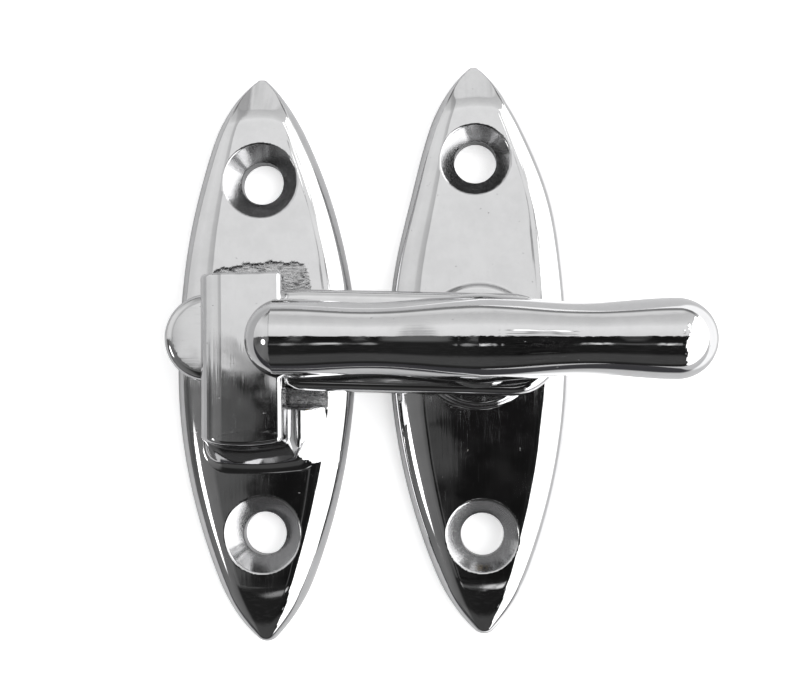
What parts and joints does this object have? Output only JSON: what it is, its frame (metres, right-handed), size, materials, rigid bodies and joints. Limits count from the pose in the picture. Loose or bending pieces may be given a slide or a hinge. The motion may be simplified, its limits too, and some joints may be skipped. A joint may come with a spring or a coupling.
{
  "type": "casement window fastener",
  "caption": "Pivoting casement fastener: a torpedo grip turns a round-ended tongue on a leaf-shaped latch plate into the hook of a matching leaf-shaped keep plate.",
  "frame": {"origin": "on the pivot axis, at the back face of the latch plate, half way between its two screw holes", "axes": "+Z out of the window, away from the mounting face; +Y along both plates; +X from the keep towards the grip's free end"},
  "size_m": [0.0547, 0.0609, 0.0188],
  "materials": {
    "plate_chrome": "hand-buffed chrome plate on a brass casting, satin in the countersinks, rough as cast in the keep's channel",
    "turn_chrome": "bright polished chrome plate on cast brass",
    "spindle_steel": "turned and hammered bright steel",
    "washer_brass": "plain stamped brass",
    "spring_steel": "dark spring temper"
  },
  "bodies": {
    "plates": {"keep_plate": "plate_chrome", "latch_plate": "plate_chrome"},
    "turn": {"tongue": "turn_chrome", "grip": "turn_chrome", "spindle": "spindle_steel", "grip_pin": "spindle_steel", "thrust_washer": "washer_brass", "spring_washer": "spring_steel", "back_washer": "washer_brass"}
  },
  "joints": [
    {"name": "handle_turn", "type": "hinge", "parent": "plates", "child": "turn", "pos_m": [0, 0, 0.0044], "axis": [0, 0, 1], "range_deg": [-300, 4]}
  ]
}
